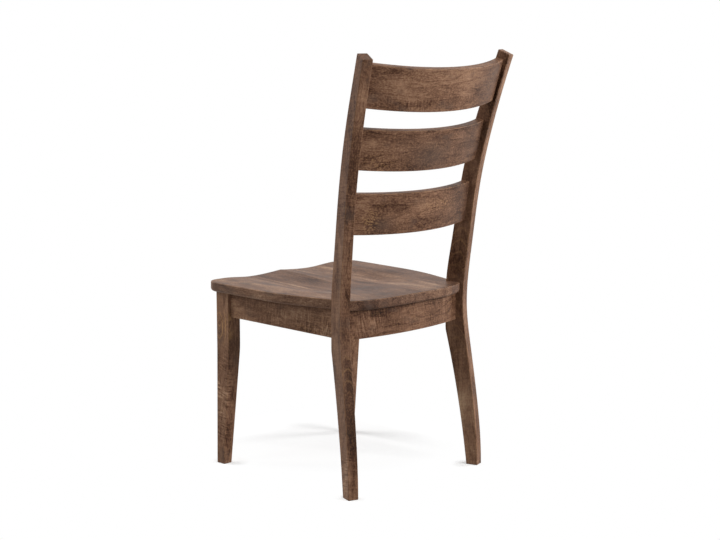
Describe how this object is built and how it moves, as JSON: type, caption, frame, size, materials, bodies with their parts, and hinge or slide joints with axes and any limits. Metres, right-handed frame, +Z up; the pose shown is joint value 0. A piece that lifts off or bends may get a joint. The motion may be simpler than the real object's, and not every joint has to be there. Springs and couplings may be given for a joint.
{
  "type": "ladderback dining chair",
  "caption": "Wooden ladderback side chair with curved back posts, bent back slats, a scooped solid seat, boxed aprons and tapered legs.",
  "frame": {"origin": "on the floor, under the middle of the chair's outline in plan", "axes": "+Z up, -Y the way that the sitter faces, +X the sitter's left"},
  "size_m": [0.5028, 0.5896, 1.0124],
  "materials": {
    "stained_maple": "satin walnut-brown stain and lacquer",
    "block_wood": "plain planed maple",
    "dowel_beech": "plain turned beech",
    "screw_steel": "zinc plated"
  },
  "bodies": {
    "root": {"rear_leg_left": "stained_maple", "rear_leg_right": "stained_maple", "front_leg_left": "stained_maple", "front_leg_right": "stained_maple", "slat_top": "stained_maple", "slat_middle": "stained_maple", "slat_bottom": "stained_maple", "seat_board_1": "stained_maple", "seat_board_2": "stained_maple", "seat_board_3": "stained_maple", "seat_board_4": "stained_maple", "apron_front": "stained_maple", "apron_rear": "stained_maple", "apron_left": "stained_maple", "apron_right": "stained_maple", "corner_block_front_left": "block_wood", "corner_block_front_right": "block_wood", "corner_block_rear_left": "block_wood", "corner_block_rear_right": "block_wood", "dowels_apron_front": "dowel_beech", "dowels_apron_rear": "dowel_beech", "dowels_apron_left": "dowel_beech", "dowels_apron_right": "dowel_beech", "corner_block_screws": "screw_steel", "seat_screws": "screw_steel"}
  },
  "joints": []
}
